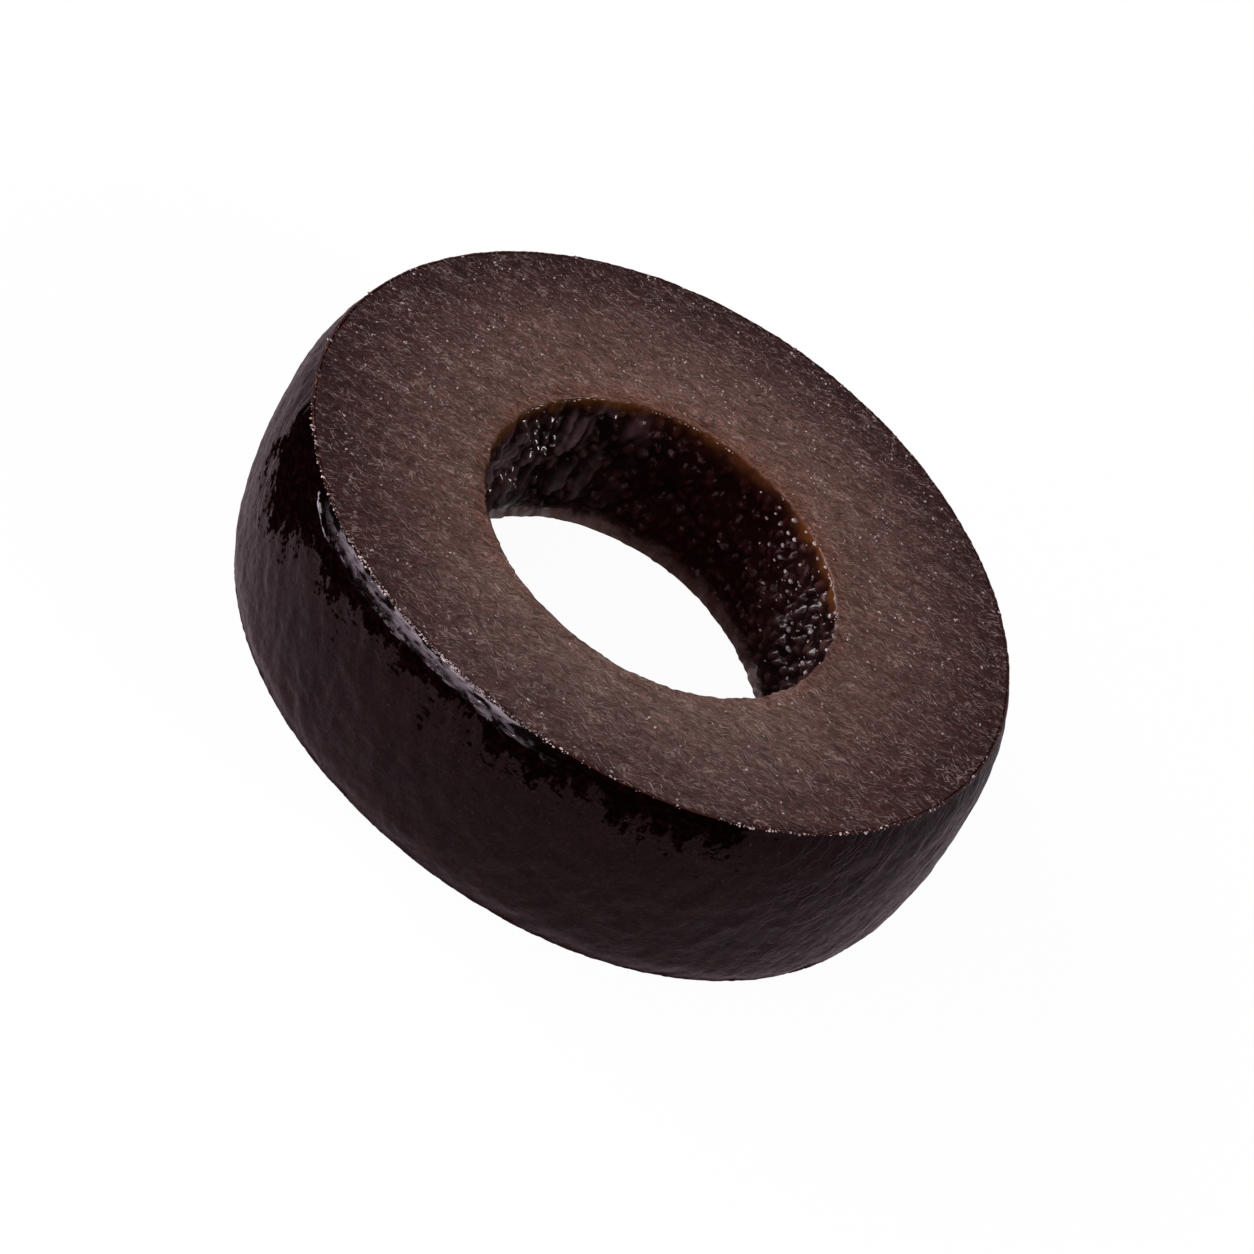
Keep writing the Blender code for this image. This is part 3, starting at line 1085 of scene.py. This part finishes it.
def makeStrandMaterial():
    material, tree, shader = newMaterial("strandFinish", Specular_IOR_Level=0.3)
    look = placePulp(tree)
    grain = noiseAt(objectPlace(tree), 3 / mm)
    pale = mixColour(remap(grain, 0.35, 0.65, 0.0, 0.4), look["Colour"], pulpTones["strand"])
    link(pale, shader["Base Color"])
    link(remap(grain, 0.3, 0.7, 0.25, 0.45), shader["Roughness"])
    return material


# The beads run from a dark brine tone up to a pale painted glint
def makeBeadMaterial(name, coat, glintTone):
    material, tree, shader = newMaterial(name, Specular_IOR_Level=0.5, Coat_Weight=coat, Coat_Roughness=0.04)
    grain = noiseAt(objectPlace(tree), 2.5 / mm)
    tone = mixColour(remap(grain, 0.35, 0.65), (0.1, 0.065, 0.06, 1), glintTone)
    link(tone, shader["Base Color"])
    link(remap(grain, 0.3, 0.7, 0.06, 0.16), shader["Roughness"])
    return material


def cutFaceSheet(name, height, facing, share):
    angle = onceRound(len(share))
    outer = fruitLoop(angle, height, sliceForm["skinThickness"])
    inner = pitLoop(angle, height, scatterSettings["holeOutset"])
    return scatterSheet(name, outer, inner, scatterSettings["faceRows"], facing, share)


def makeStrands():
    s = strandSettings
    tree = buildScatterTree("strandScatter", s, makeStrandMaterial())
    everywhere = np.ones(scatterSettings["steps"])
    makeScatter(*cutFaceSheet("upperStrands", sliceTop, 1, everywhere), s["upperCount"], tree, s)
    makeScatter(*cutFaceSheet("lowerStrands", 0, -1, everywhere), s["lowerCount"], tree, s)


def makeBeads():
    s = beadSettings
    angle = onceRound(scatterSettings["steps"])
    speckFinish = makeBeadMaterial("speckFinish", 0.2, s["speckTone"])
    tree = buildScatterTree("speckScatter", s, speckFinish)
    share = 0.5 + 0.5 * nearAngle(angle, *s["farSide"])
    makeScatter(*cutFaceSheet("brineSpecks", sliceTop, 1, share), s["faceCount"], tree, s)

    brineFinish = makeBeadMaterial("brineFinish", 0.6, s["brineTone"])
    tree = buildScatterTree("beadScatter", s, brineFinish)
    for name, loopAt, facing in (("rimBeads", fruitLoop, 1), ("holeRimBeads", pitLoop, 0)):
        rim = s[name]
        share = wetShare(angle, rim["stretches"], rim["elsewhere"])
        band = [loopAt(angle, sliceTop - depth, offset) for depth, offset in rim["band"]]
        sheet = scatterSheet(name, *band, scatterSettings["rimRows"], facing, share)
        makeScatter(*sheet, rim["count"], tree, s)


def makeWallBeads(lining):
    # Brine caught on the pebbles of the finished wall
    s = wallBeadSettings
    mesh = lining.data.copy()
    places = np.empty(len(mesh.vertices) * 3)
    mesh.vertices.foreach_get("co", places)
    x, y, height = places.reshape(-1, 3).T
    centreX, centreY = pitCentre(height)
    angle = np.arctan2(y - centreY, x - centreX)
    onWall = np.hypot(x - centreX, y - centreY) < pitRadius(angle, height) + s["wallReach"]
    upper = np.clip((height - s["lowest"]) / s["lowFade"], 0, 1)
    upper *= np.clip((sliceTop - height) / s["topFade"], 0, 1)
    share = wetShare(angle, s["stretches"], s["elsewhere"]) * upper * onWall
    mesh.attributes.new("share", "FLOAT", "POINT").data.foreach_set("value", share)
    areas = np.empty(len(mesh.polygons))
    mesh.polygons.foreach_get("area", areas)
    corners = np.empty(len(mesh.loops), dtype=int)
    mesh.loops.foreach_get("vertex_index", corners)
    area = (areas * share[corners].reshape(-1, 4).mean(axis=1)).sum()
    sheet = addObject("wallBeads", mesh)
    wallGlintFinish = makeBeadMaterial("wallBrineFinish", 0.6, s["tone"])
    tree = buildScatterTree("wallBeadScatter", s, wallGlintFinish)
    makeScatter(sheet, area, s["count"], tree, s)


# Table, light and camera

tableSettings = {
    "reach": 10.0,
    "top": -0.02 * mm,
    "tone": (0.93, 0.93, 0.93, 1),
    "paperShare": 0.96,  # of what the camera sees; the rest is the lit table with its shadow
}
cameraSettings = {
    "azimuth": 27.33,
    "elevation": 41.28,
    "roll": 30.43,
    "target": (0.309 * mm, 0.16 * mm, 1.626 * mm),
    "distance": 68.2 * mm,
    "lens": 83.41,
    "sensor": 36,
    "clip": (1 * mm, 5),
}
lampSettings = {
    # Turn from the camera's own azimuth, elevation, distance, size, radiance as a mirror would show it, tint
    "windowLamp": (-49, 12, 0.6, (1.3, 0.17), 8.5, (1, 0.78, 0.93)),
    "overLamp": (-15, 62, 0.65, (0.4, 0.4), 2.6, (1, 1, 1)),
    "backLamp": (140, 55, 0.65, (0.4, 0.3), 1.0, (1, 1, 1)),
    "leftLamp": (-108, 25, 0.6, (0.4, 0.42), 5.5, (1, 0.95, 1)),
    "rightLamp": (85, 24, 0.6, (0.18, 0.14), 23.0, (1, 0.96, 0.98)),
}
worldLevel = 0.12


def makeTable():
    s = tableSettings
    reach, top = s["reach"], s["top"]
    mesh = bpy.data.meshes.new("table")
    corners = [(-reach, -reach, top), (reach, -reach, top), (reach, reach, top), (-reach, reach, top)]
    mesh.from_pydata(corners, [], [(0, 1, 2, 3)])
    table = addObject("table", mesh)
    material, tree, shader = newMaterial("tableFinish", Roughness=0.9, Specular_IOR_Level=0.0)
    shader["Base Color"].default_value = s["tone"]
    rays = addNode(tree, "ShaderNodeLightPath").outputs
    reflected = greatest(rays["Is Glossy Ray"], rays["Is Transmission Ray"])
    seen = greatest(rays["Is Camera Ray"], reflected)
    paper = addNode(tree, "ShaderNodeEmission", {"Strength": 1.0}).outputs[0]
    shares = {0: times(seen, s["paperShare"]), 1: tree.nodes["Principled BSDF"].outputs[0], 2: paper}
    mixed = addNode(tree, "ShaderNodeMixShader", shares).outputs[0]
    link(mixed, tree.nodes["Material Output"].inputs["Surface"])
    mesh.materials.append(material)


def makeWorld():
    world = bpy.data.worlds.new("studio")
    bpy.context.scene.world = world
    world.use_nodes = True
    background = world.node_tree.nodes["Background"].inputs
    background["Color"].default_value = (1, 1, 1, 1)
    background["Strength"].default_value = worldLevel


def aimed(eye, target, roll=0.0):
    back = (eye - target).normalized()
    right = Vector((0, 0, 1)).cross(back).normalized()
    axes = Matrix((right, back.cross(right), back)).transposed()
    rolled = axes @ Matrix.Rotation(math.radians(roll), 3, "Z")
    return Matrix.Translation(eye) @ rolled.to_4x4()


def makeLamps():
    target = Vector((0, 0, sliceTop))
    for name, (turn, elevation, distance, size, radiance, tint) in lampSettings.items():
        light = bpy.data.lights.new(name, "AREA")
        light.shape = "RECTANGLE"
        light.size, light.size_y = size
        light.color = tint
        light.energy = radiance * math.pi * light.size * light.size_y
        lamp = addObject(name, light)
        eye = target + heading(cameraSettings["azimuth"] + turn, elevation) * distance
        lamp.matrix_world = aimed(eye, target)
        lamp.visible_camera = False


def makeCamera():
    s = cameraSettings
    data = bpy.data.cameras.new("photoCamera")
    data.lens = s["lens"]
    data.sensor_width = s["sensor"]
    data.clip_start, data.clip_end = s["clip"]
    camera = addObject("photoCamera", data)
    target = Vector(s["target"])
    eye = target + heading(s["azimuth"], s["elevation"]) * s["distance"]
    camera.matrix_world = aimed(eye, target, s["roll"])
    bpy.context.scene.camera = camera


makePeel()
makePulpRing()
pitLining = makeLining()
makeStrands()
makeBeads()
makeWallBeads(pitLining)
makeTable()
makeWorld()
makeLamps()
makeCamera()
bpy.context.scene.view_settings.view_transform = "Standard"
